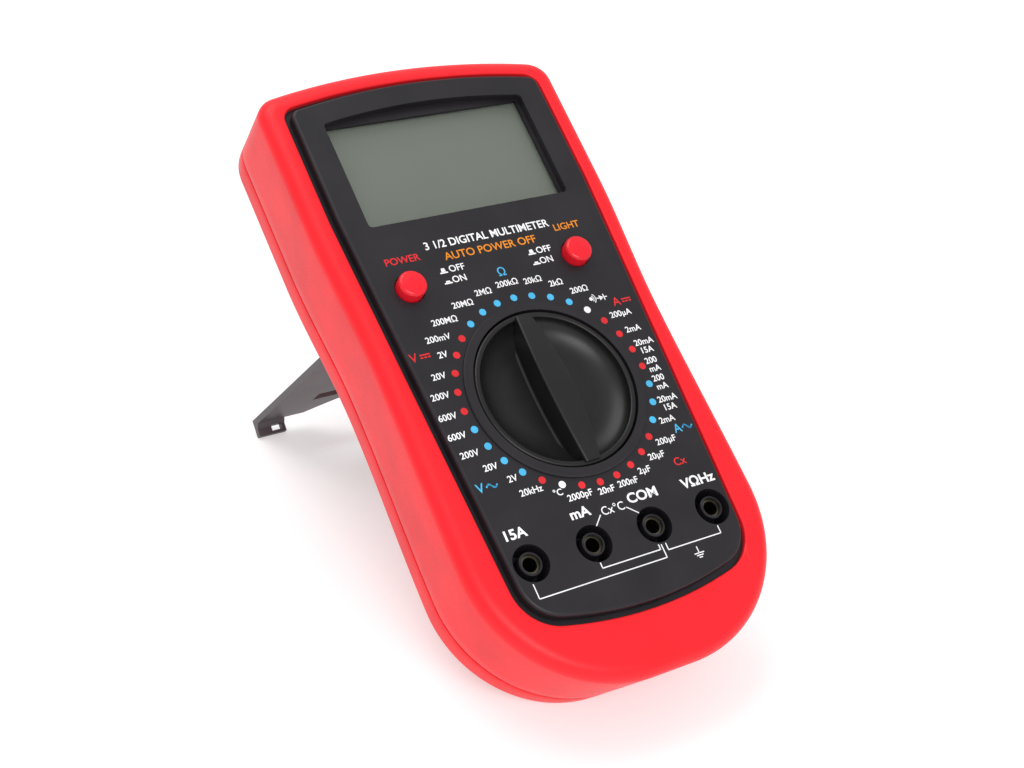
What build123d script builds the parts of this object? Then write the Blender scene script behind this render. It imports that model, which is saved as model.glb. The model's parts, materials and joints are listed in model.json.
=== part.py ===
from build123d import *
import math
import os

# Handheld digital multimeter in a rubber holster, resting on its tilt stand.
# Lengths are millimetres. Everything is drawn lying flat: X across the meter, Y up its face,
# Z out of the face, with the selector's axis at x = y = 0 and the printed face at z = 0.
# The last step leans the meter back on its stand and puts the origin on the floor.

# ---- driving dimensions ----
lean_angle = 35.35           # the face leans back this far from lying flat

boot_front_sizes = {
    "top": 47.3,             # half width beside the display
    "waist": 45.3,           # half width at the selector
    "hip": 46.7,             # half width at the sockets
    "crown": 108.6,          # top of the arched top edge
    "bottom": -79.2,
    "chin": 33.0,            # radius of the lower corners
    "corner": 9.0,           # radius of the upper corners
}
boot_back_sizes = {          # the sides close in, the top and the chin slope the same way
    "top": 45.7, "waist": 42.9, "hip": 45.1, "crown": 117.6, "bottom": -73.0,
    "chin": 39.0, "corner": 14.0,
}
boot_crown_drop = 5.2        # the arch falls this much to the corners
boot_waist_y = -12.0
boot_chest_y = 62.0          # above here the sides are straight
boot_front = -1.6            # front of the rim, below the face
boot_back = -36.8
boot_rim_round = 4.6
boot_back_round = 2.6
groove_z = -28.4             # line moulded round the side walls
groove_width = 0.9
groove_depth = 1.2

case_sizes = {"top": 43.3, "waist": 41.3, "hip": 42.7, "crown": 104.7, "bottom": -70.2,
              "chin": 33.0, "corner": 5.0}
case_back = -32.3
case_split = -13.4           # front and rear shells meet here
case_wall = 2.2
door_screw_y = 1.2

flange_z = -3.2              # step round the raised face panel
lip_top_half = 41.2          # the holster's lip frames the panel
lip_low_half = 35.9
lip_crown = 102.8
lip_crown_drop = 4.0
lip_bottom = -63.6
lip_bottom_rise = 5.7
lip_low_corner = 13.0
lip_top_corner = 4.5
panel_gap = 1.6              # panel edge inside the lip

display_half = 30.8
display_low = 58.6
display_high = 91.2
display_depth = 3.3          # window surface below the face
recess_depth = 2.3
recess_half = 31.8
recess_low = 57.4
recess_crown = 94.3
recess_crown_drop = 2.7

selector_radius = 23.2
selector_rim = 0.6           # rim of the knob above the face
selector_bottom = -6.9
selector_positions = 32
grip_half = 4.1              # half width of the finger bar in the middle
grip_end_half = 2.3          # and at its ends
grip_length_half = 22.3
grip_top = 3.0
grip_end_top = 1.3
scoop_radius = 21.4
scoop_floor = -5.0
collar_radius = 26.2
collar_top = 0.8

button_radius = 4.0
button_top = 3.8
button_travel = 2.5
power_button_at = (-28.2, 37.3)
light_button_at = (24.6, 37.6)

socket_pitch = 19.0          # standard spacing for 4 mm plugs
socket_y = -43.5
socket_bore = 2.0
socket_mouth = -1.2
socket_end = -13.6
socket_names = ("socket_15a", "socket_ma", "socket_com", "socket_volt")

board_top = -10.7
board_thickness = 1.6

fuse_seats = ((-26.5, -6.5, 2.6, 5.0), (-5.5, 26.5, 3.2, 6.0))   # ends, radius, cap length
fuse_y = -54.5

stand_half = 33.0
stand_thickness = 2.0
stand_length = 93.1          # hinge axis to the end of the plate
stand_axis_y = 44.2
stand_axis_z = -35.1
stand_open = 100.9           # opening angle from folded flat to resting on its stop
barrel_radius = 1.7
stub_radius = 1.2
stub_length = 2.8
foot_width = 9.6
foot_depth = 5.2             # feet turn forward from the middle of the plate
foot_thickness = 2.4
arch_shoulder = 4.0          # the plate's end is cut back this far between the feet
arch_rise = 17.0             # and this far in the middle
arch_half = 16.5
slot_half = 19.0             # slot across the plate, above the arch
slot_low = 20.7
slot_width = 6.8

running = 0.06               # radial clearance of the hinge stubs
clear = 0.3                  # general clearance between moving and fixed parts

# ---- derived values ----
board_bottom = board_top - board_thickness
collar_inner = selector_radius + 0.4
carrier_bottom = selector_bottom - 2.4
detent_inner = 26.5
detent_outer = 29.0
well_bottom = -5.0
socket_xs = [socket_pitch * (i - 1.5) for i in range(4)]
case_screw_spots = [(37.7, 94.2), (-37.7, 94.2), (30.6, -58.1), (-30.6, -58.1)]
board_screw_spots = [(34.0, 50.0), (-34.6, 50.0), (33.5, -31.0), (-33.5, -31.0)]


# ---- small helpers ----
def box_between(low, high):
    size = [b - a for a, b in zip(low, high)]
    middle = [(a + b) / 2 for a, b in zip(low, high)]
    return Pos(*middle) * Box(*size)


def post(x, y, radius, z_low, z_high):
    return Pos(x, y, (z_low + z_high) / 2) * Cylinder(radius, z_high - z_low)


def rod_along_x(x_low, x_high, y, z, radius):
    return Pos((x_low + x_high) / 2, y, z) * Rot(Y=90) * Cylinder(radius, x_high - x_low)


def ring(outer, inner, z_low, z_high):
    return post(0, 0, outer, z_low, z_high) - post(0, 0, inner, z_low - 1, z_high + 1)


def prism(face, z_low, z_high):
    return Pos(0, 0, z_low) * extrude(face, z_high - z_low)


def mirrored(edges):
    return edges + [mirror(edge, Plane.YZ) for edge in edges]


# ---- outlines ----
def boot_outline(sizes, inset=0.0):
    """Closed outline of the holster: flat chin, waisted sides and an arched top."""
    top = sizes["top"] - inset
    hip = sizes["hip"] - inset
    bottom = sizes["bottom"] + inset
    radius = sizes["chin"] - inset
    chin_x = hip - radius
    chin_y = bottom + radius
    crown = sizes["crown"] - inset
    shoulder = crown - boot_crown_drop
    half = math.sqrt(0.5)
    arc_middle = (chin_x + radius * half, chin_y - radius * half)
    side = Spline(
        (hip, chin_y),
        (sizes["waist"] - inset, boot_waist_y),
        (top, boot_chest_y),
        tangents=((0, 1), (0, 1)),
    )
    edges = mirrored([
        ThreePointArc((chin_x, bottom), arc_middle, (hip, chin_y)),
        side,
        Line((top, boot_chest_y), (top, shoulder)),
    ])
    edges.append(Line((-chin_x, bottom), (chin_x, bottom)))
    edges.append(ThreePointArc((top, shoulder), (0, crown), (-top, shoulder)))
    face = make_face(edges)
    corners = face.vertices().filter_by_position(Axis.Y, shoulder - 0.01, shoulder + 0.01)
    return fillet(corners, sizes["corner"] - inset)


def boot_outline_at(z, inset):
    """Outline of the holster's walls at one depth, moved in by an inset."""
    share = (boot_front - z) / (boot_front - boot_back)
    sizes = {
        key: front + (boot_back_sizes[key] - front) * share
        for key, front in boot_front_sizes.items()
    }
    return boot_outline(sizes, inset)


def panel_outline(inset):
    """Closed outline of the face panel, wider at the display than at the sockets."""
    top = lip_top_half - inset
    low = lip_low_half - inset
    crown = lip_crown - inset
    shoulder = crown - lip_crown_drop
    bottom = lip_bottom + inset
    hip = bottom + lip_bottom_rise
    edges = mirrored([
        Line((low, hip), (top, boot_chest_y)),
        Line((top, boot_chest_y), (top, shoulder)),
    ])
    edges.append(ThreePointArc((-low, hip), (0, bottom), (low, hip)))
    edges.append(ThreePointArc((top, shoulder), (0, crown), (-top, shoulder)))
    face = make_face(edges)
    low_corners = face.vertices().filter_by_position(Axis.Y, hip - 0.01, hip + 0.01)
    face = fillet(low_corners, lip_low_corner - inset)
    top_corners = face.vertices().filter_by_position(Axis.Y, shoulder - 0.01, shoulder + 0.01)
    return fillet(top_corners, max(lip_top_corner - inset, 1.0))


def recess_outline(grow):
    """Outline of the display recess: straight sides under a low arch."""
    half = recess_half + grow
    low = recess_low - grow
    crown = recess_crown + grow
    shoulder = crown - recess_crown_drop
    face = make_face([
        Line((-half, low), (half, low)),
        Line((half, low), (half, shoulder)),
        ThreePointArc((half, shoulder), (0, crown), (-half, shoulder)),
        Line((-half, shoulder), (-half, low)),
    ])
    return fillet(face.vertices(), 1.2 + grow)


def case_outline(inset):
    return boot_outline(case_sizes, inset)


# ---- holster ----
def make_holster():
    front = Pos(0, 0, boot_front) * boot_outline(boot_front_sizes)
    back = Pos(0, 0, boot_back) * boot_outline(boot_back_sizes)
    body = loft([back, front], ruled=True)
    body = fillet(body.faces().sort_by(Axis.Z)[-1].edges(), boot_rim_round)
    body = fillet(body.faces().sort_by(Axis.Z)[0].edges(), boot_back_round)
    body -= prism(case_outline(0), case_back, flange_z)
    body -= prism(panel_outline(0), flange_z - 1, boot_front + 1)
    inner_edge = body.faces().filter_by(Axis.Z).sort_by(Axis.Z)[-1].inner_wires()[0]
    body = fillet(inner_edge.edges(), 0.6)
    body -= boot_groove()
    body -= stand_recess()
    return body - floor_cut()


def boot_groove():
    outer = prism(boot_outline_at(groove_z, -2), groove_z, groove_z + groove_width)
    return outer - prism(boot_outline_at(groove_z, groove_depth), groove_z - 1, groove_z + 2)


def stand_recess():
    """Space in the holster's back for the folded stand, its barrel, stubs and feet."""
    half = stand_half + 0.4
    end_y = stand_axis_y - stand_length - 0.8
    floor_z = stand_axis_z + stand_thickness / 2 + clear
    ledge_y = stand_axis_y + 1.45
    space = box_between((-half, end_y, boot_back - 1), (half, ledge_y, floor_z))
    channel_top = stand_axis_y + barrel_radius + clear
    channel_z = stand_axis_z + barrel_radius + clear
    channel_low = stand_axis_y - barrel_radius - clear
    space += box_between((-half, channel_low, boot_back + 0.7), (half, channel_top, channel_z))
    reach = stand_half + stub_length + 0.3
    space += rod_along_x(-reach, reach, stand_axis_y, stand_axis_z, stub_radius + running)
    return space + foot_pockets(0.4)


def foot_pockets(gap):
    """Room for the turned feet of the folded stand, behind each lower corner."""
    low_y = stand_axis_y - stand_length - gap - 0.4
    high_y = stand_axis_y - stand_length + foot_thickness + gap + 1.6
    deep_z = stand_axis_z + foot_depth + gap
    inner_x = stand_half - foot_width - gap
    pocket = box_between((inner_x, low_y, boot_back - 1), (stand_half + gap, high_y, deep_z))
    return pocket + mirror(pocket, Plane.YZ)


def floor_cut():
    """Everything under the floor plane, for the small flats that the meter rests on."""
    slab = Pos(0, 0, floor_level - 50) * Box(400, 600, 100)
    return Rot(X=-lean_angle) * slab


# ---- case shells ----
def make_front_case():
    body = prism(case_outline(0), case_split, flange_z)
    panel = prism(panel_outline(panel_gap), flange_z - 1, 0)
    panel = fillet(panel.faces().sort_by(Axis.Z)[-1].edges(), 0.9)
    collar = ring(collar_radius, collar_inner - 2, -2, collar_top)
    collar = chamfer(collar.faces().sort_by(Axis.Z)[-1].edges(), 0.35)
    body = body + panel + collar

    hollow = prism(case_outline(case_wall), case_split - 1, flange_z - case_wall)
    hollow += prism(panel_outline(panel_gap + case_wall), flange_z - case_wall - 1, -case_wall)
    hollow -= prism(recess_outline(1.6), -display_depth, 0)
    hollow -= ring(detent_outer, 10, well_bottom, 0)
    for x in socket_xs:
        hollow -= post(x, socket_y, 6.4, flange_z - case_wall, 0)
    for x, y in case_screw_spots:
        hollow -= post(x, y, 3.3, case_split - 2, 0)
    for x, y in board_screw_spots:
        hollow -= post(x, y, 2.4, board_top, 0)
    body -= hollow

    body -= prism(recess_outline(0), -recess_depth, 1)
    body -= box_between(
        (-display_half, display_low, -9), (display_half, display_high, 1)
    )
    body -= post(0, 0, collar_inner, -20, 5)
    for x, y in (power_button_at, light_button_at):
        body -= post(x, y, button_radius + clear, -20, 5)
    for x in socket_xs:
        body -= post(x, socket_y, 5.1, -20, 5)
    for x, y in case_screw_spots:
        body -= post(x, y, 1.4, case_split - 1, -7.6)
    for x, y in board_screw_spots:
        body -= post(x, y, 1.0, case_split - 1, -5.8)
    return body


def make_rear_case():
    body = prism(case_outline(0), case_back, case_split)
    hollow = prism(case_outline(2.0), case_back + 2.0, case_split + 1)
    for x, y in case_screw_spots:
        hollow -= post(x, y, 3.8, case_back, case_split + 1)
    hollow -= mirror_pair(box_between((21.0, -54.0, case_back), (36.0, -39.5, -27.6)))
    hollow -= battery_walls()
    body -= hollow
    body -= foot_pockets(0.6)
    body -= box_between((-27.0, -36.0, case_back - 1), (27.0, -1.0, case_back + 3))
    body -= box_between((-5.3, -1.1, case_back - 1), (5.3, 4.5, case_back + 2.0))
    body -= post(0, door_screw_y, 1.3, case_back - 1, -24.0)
    for x, y in case_screw_spots:
        body -= post(x, y, 1.5, case_back - 1, case_split + 1)
        body -= post(x, y, 3.1, case_back - 1, case_back + 2.0)
    return body


def mirror_pair(solid):
    return solid + mirror(solid, Plane.YZ)


def battery_walls():
    """Walls of the battery bay, open at the back for the door, and the door screw's boss."""
    outer = box_between((-32.0, -38.0, case_back), (32.0, 1.0, -17.0))
    inner = box_between((-30.5, -36.0, case_back - 1), (30.5, -1.0, -16.0))
    return outer - inner + post(0, door_screw_y, 3.2, case_back, -22.0)


def make_battery_door():
    door = box_between((-26.7, -35.7, case_back), (26.7, -1.3, case_back + 2.0))
    door = fillet(door.edges().filter_by(Axis.Z), 0.8)
    door += box_between((-5.0, -2.0, case_back), (5.0, 4.2, case_back + 2.0))
    door -= post(0, door_screw_y, 1.5, case_back - 1, case_back + 3)
    door -= post(0, door_screw_y, 2.7, case_back - 1, case_back + 1.2)
    for y in (-31.0, -29.0, -27.0):
        door -= box_between((-9.0, y, case_back - 1), (9.0, y + 0.8, case_back + 0.5))
    return door


def pan_screw(x, y, z_head, head_radius, head_height, shank_radius, shank_length):
    """Screw driven upwards from behind, with a cross recess in its head."""
    head = post(x, y, head_radius, z_head - head_height, z_head)
    head = fillet(head.edges().sort_by(Axis.Z)[0], head_height * 0.45)
    shank = post(x, y, shank_radius, z_head, z_head + shank_length)
    slot = head_radius * 0.62
    low = z_head - head_height - 1
    high = z_head - head_height * 0.45
    cross = box_between((x - slot, y - 0.25, low), (x + slot, y + 0.25, high))
    cross += box_between((x - 0.25, y - slot, low), (x + 0.25, y + slot, high))
    return head + shank - cross


def make_case_screws():
    return Compound(children=[
        pan_screw(x, y, case_back + 2.0, 2.8, 1.8, 1.4, 22.4) for x, y in case_screw_spots
    ])


def make_board_screws():
    return Compound(children=[
        pan_screw(x, y, board_bottom, 2.1, 1.3, 1.0, 6.0) for x, y in board_screw_spots
    ])


# ---- display ----
def make_display_window():
    pane = box_between((-33.0, 56.6, -display_depth - 1.5), (33.0, 93.2, -display_depth))
    return fillet(pane.edges().filter_by(Axis.Z), 1.0)


def make_lcd_panel():
    front_glass = box_between((-32.6, 58.0, -6.1), (32.6, 92.0, -5.0))
    rear_glass = box_between((-32.6, 56.8, -7.2), (32.6, 93.0, -6.1))
    return front_glass + rear_glass


def make_lcd_frame():
    outer = box_between((-34.2, 55.0, board_top), (34.2, 94.8, -display_depth))
    outer = fillet(outer.edges().filter_by(Axis.Z), 1.5)
    outer -= box_between((-33.1, 56.5, board_top - 1), (33.1, 93.3, -2))
    for x in (-24.0, 24.0):
        outer -= box_between((x - 3, 50.0, board_top - 1), (x + 3, 100.0, board_top + 1.4))
    return outer


def make_lcd_backlight():
    guide = box_between((-30.5, 60.6, -10.3), (30.5, 89.2, -7.25))
    guide = chamfer(guide.edges().filter_by(Axis.Z), 1.0)
    lamp = box_between((-33.0, 70.0, -10.3), (-30.5, 80.0, -7.9))
    return guide + lamp


def make_zebra_strips():
    return Compound(children=[
        box_between((-30.0, y, board_top), (30.0, y + 1.8, -7.2)) for y in (57.4, 90.6)
    ])


# ---- selector ----
def make_selector_knob():
    body = post(0, 0, selector_radius, selector_bottom, selector_rim)
    body = fillet(body.edges().sort_by(Axis.Z)[-1], 0.7)
    body += post(0, 0, selector_radius + 1.8, selector_bottom, well_bottom - clear)
    return body - scoop_bowl() + grip_bar()


def scoop_bowl():
    """Shallow round dish that leaves the finger bar standing between its two halves."""
    high = selector_rim + 5
    wall_top = selector_rim + 0.05
    profile = make_face([
        Line((0, scoop_floor), (scoop_radius - 8.0, scoop_floor)),
        ThreePointArc(
            (scoop_radius - 8.0, scoop_floor),
            (scoop_radius - 3.2, scoop_floor + 1.7),
            (scoop_radius, wall_top),
        ),
        Line((scoop_radius, wall_top), (scoop_radius, high)),
        Line((scoop_radius, high), (0, high)),
        Line((0, high), (0, scoop_floor)),
    ])
    return revolve(Plane.XZ * profile, Axis.Z)


def grip_bar():
    """Finger bar: lens-shaped in plan, with a gently arched top."""
    end = (grip_end_half, grip_length_half)
    side = ThreePointArc((end[0], -end[1]), (grip_half, 0), end)
    outline = mirrored([side])
    outline += [Line(end, (-end[0], end[1])), Line((end[0], -end[1]), (-end[0], -end[1]))]
    drop = grip_top - grip_end_top
    arch_radius = (grip_length_half ** 2 + drop ** 2) / (2 * drop)
    bar = prism(make_face(outline), scoop_floor - 1, grip_top + 1)
    bar &= rod_along_x(-9, 9, 0, grip_top - arch_radius, arch_radius)
    return fillet(bar.faces().sort_by(Axis.Z)[-1].edges(), 0.4)


def detent_spots():
    return (0.0, 180.0)


def make_contact_carrier():
    body = post(0, 0, 24.4, carrier_bottom, selector_bottom)
    body -= ring(21.0, 12.0, carrier_bottom - 1, carrier_bottom + 0.9)
    for angle in detent_spots():
        bore = rod_along_x(17.0, 26.0, 0, carrier_bottom + 1.2, 0.95)
        body -= Rot(Z=angle) * bore
    return body


def make_wiper_contacts():
    """Three sprung contact fingers under the carrier, just above the board's tracks."""
    arms = []
    top = carrier_bottom + 0.9
    for turn in range(3):
        arm = box_between((-2.0, 13.0, top - 0.3), (2.0, 20.0, top))
        for x in (-1.4, 1.4):
            arm += box_between((x - 0.4, 15.6, board_top + 0.15), (x + 0.4, 17.4, top))
        arms.append(Rot(Z=120 * turn) * arm)
    return Compound(children=arms)


def make_detent_balls():
    return Compound(children=[
        Rot(Z=angle) * Pos(25.2, 0, carrier_bottom + 1.2) * Sphere(0.9)
        for angle in detent_spots()
    ])


def make_detent_springs():
    """Small coil springs that push the detent balls outwards."""
    springs = []
    for angle in detent_spots():
        coil = sweep(
            Plane((0.62, 0, 0), z_dir=(0, 1, 0)) * Circle(0.14),
            path=Helix(pitch=0.9, height=6.6, radius=0.62),
            is_frenet=True,
        )
        placed = Pos(17.3, 0, carrier_bottom + 1.2) * Rot(Y=90) * coil
        springs.append(Rot(Z=angle) * placed)
    return Compound(children=springs)


def make_detent_ring():
    body = ring(detent_outer, detent_inner, carrier_bottom, well_bottom)
    for i in range(selector_positions):
        angle = math.radians(360 / selector_positions * i)
        x = detent_inner * math.cos(angle)
        y = detent_inner * math.sin(angle)
        body -= post(x, y, 0.8, carrier_bottom - 1, carrier_bottom + 2.6)
    return body


# ---- push buttons ----
def make_button(spot):
    cap = post(*spot, button_radius, -2.5, button_top)
    cap = fillet(cap.edges().sort_by(Axis.Z)[-1], 0.8)
    flange = post(*spot, button_radius + 1.2, -3.35, -2.25)
    return cap + flange


def make_plunger(spot):
    x, y = spot
    return box_between((x - 1.5, y - 1.5, -7.6), (x + 1.5, y + 1.5, -3.35))


def make_push_switch(spot):
    x, y = spot
    body = box_between((x - 4.5, y - 4.5, board_top), (x + 4.5, y + 4.5, -6.2))
    body = chamfer(body.edges().filter_by(Axis.Z), 0.5)
    well = box_between((x - 1.8, y - 1.8, board_top + 0.3), (x + 1.8, y + 1.8, -6))
    return body - well


# ---- sockets ----
def make_socket_block():
    """Insulating towers and shrouds of the four input sockets on one base bar."""
    base = box_between((-36.0, socket_y - 7.0, board_top), (36.0, socket_y + 7.0, board_top + 1.6))
    base = fillet(base.edges().filter_by(Axis.Z), 3.0)
    for x in socket_xs:
        base += post(x, socket_y, 6.4, board_top, flange_z - case_wall)
    for x in socket_xs:
        base -= post(x, socket_y, 5.1, board_top + 1.6, 1)
    for x in socket_xs:
        tower = post(x, socket_y, 3.2, board_top, -0.2)
        tower = chamfer(tower.edges().sort_by(Axis.Z)[-1], 0.25)
        base += tower
    for x in socket_xs:
        base -= post(x, socket_y, 2.65, board_top - 1, 1)
    return base


def make_socket(x):
    """Brass sleeve for a 4 mm plug, with a flared mouth and a solder collar under the board."""
    sleeve = post(x, socket_y, 2.6, socket_end, socket_mouth)
    sleeve += post(x, socket_y, 3.4, socket_end, board_bottom)
    return sleeve - post(x, socket_y, socket_bore, -15, 0)


def make_board():
    board = prism(case_outline(case_wall + 1.2), board_bottom, board_top)
    for x, y in case_screw_spots:
        board -= post(x, y, 4.2, board_bottom - 1, board_top + 1)
    for x, y in board_screw_spots:
        board -= post(x, y, 1.1, board_bottom - 1, board_top + 1)
    for x in socket_xs:
        board -= post(x, socket_y, 2.7, board_bottom - 1, board_top + 1)
    return board


# ---- parts behind the board ----
def make_current_shunt():
    """Thick resistance wire that bridges the high-current socket and the common socket."""
    start = (-28.5, -37.0, board_bottom)
    end = (9.5, -37.0, board_bottom)
    low = board_bottom - 3.4
    path = FilletPolyline(start, (start[0], -37.0, low), (end[0], -37.0, low), end, radius=2.0)
    return sweep(Plane(start, z_dir=(0, 0, -1)) * Circle(0.8), path=path)


def make_fuse(x_low, x_high, y, radius, cap_length):
    """Cartridge fuse: a tube between two metal end caps."""
    z = board_bottom - radius - 1.2
    body = rod_along_x(x_low + cap_length, x_high - cap_length, y, z, radius - 0.2)
    for x in (x_low, x_high - cap_length):
        body += rod_along_x(x, x + cap_length, y, z, radius)
    return body




def make_fuse_clips():
    clips = []
    for x_low, x_high, radius, cap_length in fuse_seats:
        z = board_bottom - radius - 1.2
        for x in (x_low + 0.6, x_high - cap_length + 0.6):
            width = cap_length - 1.2
            clip = box_between(
                (x, fuse_y - radius - 0.7, z - radius * 0.7),
                (x + width, fuse_y + radius + 0.7, board_bottom),
            )
            clip -= rod_along_x(x - 1, x + width + 1, fuse_y, z, radius + 0.02)
            clip -= box_between(
                (x - 1, fuse_y - radius * 0.75, z - radius), (x + width + 1, fuse_y + radius * 0.75, z)
            )
            clips.append(clip)
    return Compound(children=clips)


def make_battery():
    body = box_between((-24.2, -32.2, -30.1), (21.8, -5.8, -12.7))
    body = fillet(body.edges().filter_by(Axis.X), 2.0)
    body += rod_along_x(21.8, 24.2, -25.4, -21.4, 2.8)
    return body + rod_along_x(21.8, 24.2, -12.6, -21.4, 2.8)


def make_battery_snap():
    body = box_between((21.9, -31.8, -28.0), (25.6, -6.2, -14.8))
    body = fillet(body.edges().filter_by(Axis.X), 2.5)
    body -= rod_along_x(21.0, 24.3, -25.4, -21.4, 2.9)
    return body - rod_along_x(21.0, 24.3, -12.6, -21.4, 2.9)


def make_battery_wires():
    """Two insulated leads from the snap up to the board, clear of the bay wall."""
    wires = []
    for y in (-21.0, -17.0):
        start = (25.6, y, -17.5)
        end = (28.6, y + 9.0, board_bottom)
        path = FilletPolyline(
            start, (28.6, y, -17.5), (28.6, y + 9.0, -15.5), end, radius=1.2
        )
        wires.append(sweep(Plane(start, z_dir=(1, 0, 0)) * Circle(0.6), path=path))
    return Compound(children=wires)


def make_buzzer():
    disc = post(-8.0, 44.0, 10.0, board_bottom - 3.2, board_bottom)
    disc = fillet(disc.edges().sort_by(Axis.Z)[0], 0.8)
    return disc - post(-8.0, 44.0, 1.0, board_bottom - 4, board_bottom - 2)


def make_main_chip():
    """Round drop of epoxy over the converter chip."""
    radius = 9.0
    height = 2.4
    ball_radius = (radius ** 2 + height ** 2) / (2 * height)
    ball = Pos(4.0, 74.0, board_bottom - height + ball_radius) * Sphere(ball_radius)
    return ball & post(4.0, 74.0, radius + 1, board_bottom - height - 1, board_bottom)


def make_capacitors():
    cans = []
    for x, y, radius, height in (
        (18.0, 44.0, 3.2, 7.0), (26.0, 48.0, 2.5, 6.0), (-26.0, 60.0, 4.0, 9.0), (27.0, 62.0, 2.0, 5.0)
    ):
        can = post(x, y, radius, board_bottom - height, board_bottom)
        cans.append(fillet(can.edges().sort_by(Axis.Z)[0], 0.5))
    return Compound(children=cans)


def make_resistors():
    """Axial resistors standing in a row above the battery bay."""
    bodies = []
    for i in range(7):
        x = -18.0 + 6.0 * i
        barrel = Pos(x, 12.0, board_bottom - 2.0) * Rot(X=90) * Cylinder(1.15, 6.4)
        leads = post(x, 7.6, 0.3, board_bottom - 2.3, board_bottom)
        leads += post(x, 16.4, 0.3, board_bottom - 2.3, board_bottom)
        span = Pos(x, 12.0, board_bottom - 2.0) * Rot(X=90) * Cylinder(0.3, 8.8)
        bodies.append(barrel + span + leads)
    return Compound(children=bodies)


def make_trimmers():
    pots = []
    for x in (-16.0, -6.0):
        pot = box_between((x - 3.2, 86.0, board_bottom - 4.6), (x + 3.2, 92.4, board_bottom))
        pot -= post(x, 89.2, 1.8, board_bottom - 6, board_bottom - 4.0)
        pot += box_between((x - 1.7, 88.9, board_bottom - 4.5), (x + 1.7, 89.5, board_bottom - 3.9))
        pots.append(pot)
    return Compound(children=pots)


# ---- tilt stand ----
def make_tilt_stand():
    """Plate on a barrel hinge with two turned feet, drawn folded flat and then swung open."""
    end = -stand_length
    half_thick = stand_thickness / 2
    plate = make_face([
        Line((-stand_half, 0), (stand_half, 0)),
        Line((stand_half, 0), (stand_half, end)),
        Line((stand_half, end), (stand_half - foot_width, end)),
        *arch_edges(end),
        Line((foot_width - stand_half, end), (-stand_half, end)),
        Line((-stand_half, end), (-stand_half, 0)),
    ])
    body = prism(plate, -half_thick, half_thick)
    body -= box_between(
        (-slot_half, end + slot_low, -5), (slot_half, end + slot_low + slot_width, 5)
    )
    body += rod_along_x(-stand_half, stand_half, 0, 0, barrel_radius)
    reach = stand_half + stub_length
    body += rod_along_x(-reach, reach, 0, 0, stub_radius)
    foot = box_between(
        (stand_half - foot_width, end, -half_thick), (stand_half, end + foot_thickness, foot_depth)
    )
    web = make_face(Polyline(
        (end + foot_thickness, half_thick), (end + foot_thickness + 1.6, half_thick),
        (end + foot_thickness, half_thick + 1.6), close=True,
    ))
    foot += Pos(stand_half - foot_width, 0, 0) * extrude(Plane.YZ * web, foot_width)
    slot_x = stand_half - foot_width + 1.2
    foot -= box_between((slot_x, end - 1, 2.2), (slot_x + 3.6, end + 5, 4.2))
    body += mirror_pair(foot)
    swung = Rot(X=stand_open) * body
    return Pos(0, stand_axis_y, stand_axis_z) * swung - floor_cut()


def arch_edges(end):
    """Arch between the feet, rising to the middle of the plate's end."""
    foot_x = stand_half - foot_width
    shoulder = end + arch_shoulder
    slope = (-0.65, 0.76)
    return [
        Line((foot_x, end), (foot_x, shoulder)),
        Line((foot_x, shoulder), (arch_half, shoulder)),
        Spline(
            (arch_half, shoulder), (0, end + arch_rise), (-arch_half, shoulder),
            tangents=(slope, (slope[0], -slope[1])),
        ),
        Line((-arch_half, shoulder), (-foot_x, shoulder)),
        Line((-foot_x, shoulder), (-foot_x, end)),
    ]


# ---- assembly ----
def lowest_of_boot():
    """Height of the rounded bottom back edge above the selector's axis, once leaned back."""
    lean = math.radians(lean_angle)
    y = boot_back_sizes["bottom"] + boot_back_round
    z = boot_back + boot_back_round
    return y * math.sin(lean) + z * math.cos(lean) - boot_back_round


floor_level = lowest_of_boot() + 0.25


def make_all():
    nodes = {
        "holster": make_holster(),
        "front_case": make_front_case(),
        "rear_case": make_rear_case(),
        "battery_door": make_battery_door(),
        "battery_door_screw": pan_screw(0, door_screw_y, case_back + 1.2, 2.4, 1.1, 1.3, 6.0),
        "case_screws": make_case_screws(),
        "board_screws": make_board_screws(),
        "display_window": make_display_window(),
        "lcd_panel": make_lcd_panel(),
        "lcd_frame": make_lcd_frame(),
        "lcd_backlight": make_lcd_backlight(),
        "zebra_strips": make_zebra_strips(),
        "main_board": make_board(),
        "selector_knob": make_selector_knob(),
        "contact_carrier": make_contact_carrier(),
        "wiper_contacts": make_wiper_contacts(),
        "detent_balls": make_detent_balls(),
        "detent_springs": make_detent_springs(),
        "detent_ring": make_detent_ring(),
        "power_button": make_button(power_button_at),
        "power_plunger": make_plunger(power_button_at),
        "power_switch": make_push_switch(power_button_at),
        "light_button": make_button(light_button_at),
        "light_plunger": make_plunger(light_button_at),
        "light_switch": make_push_switch(light_button_at),
        "socket_block": make_socket_block(),
        "current_shunt": make_current_shunt(),
        "fuse_ma": make_fuse(*fuse_seats[0][:2], fuse_y, *fuse_seats[0][2:]),
        "fuse_15a": make_fuse(*fuse_seats[1][:2], fuse_y, *fuse_seats[1][2:]),
        "fuse_clips": make_fuse_clips(),
        "battery": make_battery(),
        "battery_snap": make_battery_snap(),
        "battery_wires": make_battery_wires(),
        "buzzer": make_buzzer(),
        "main_chip": make_main_chip(),
        "capacitors": make_capacitors(),
        "resistors": make_resistors(),
        "trimmers": make_trimmers(),
        "tilt_stand": make_tilt_stand(),
    }
    for name, x in zip(socket_names, socket_xs):
        nodes[name] = make_socket(x)
    return nodes


def standing_place(nodes):
    """Leans the meter back and puts the origin under the middle of its bounding box."""
    lean = Rot(X=lean_angle)
    leaned = Compound(children=[lean * nodes[name] for name in ("holster", "tilt_stand")])
    bounds = leaned.bounding_box()
    return Pos(0, -(bounds.min.Y + bounds.max.Y) / 2, -floor_level) * lean


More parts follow.
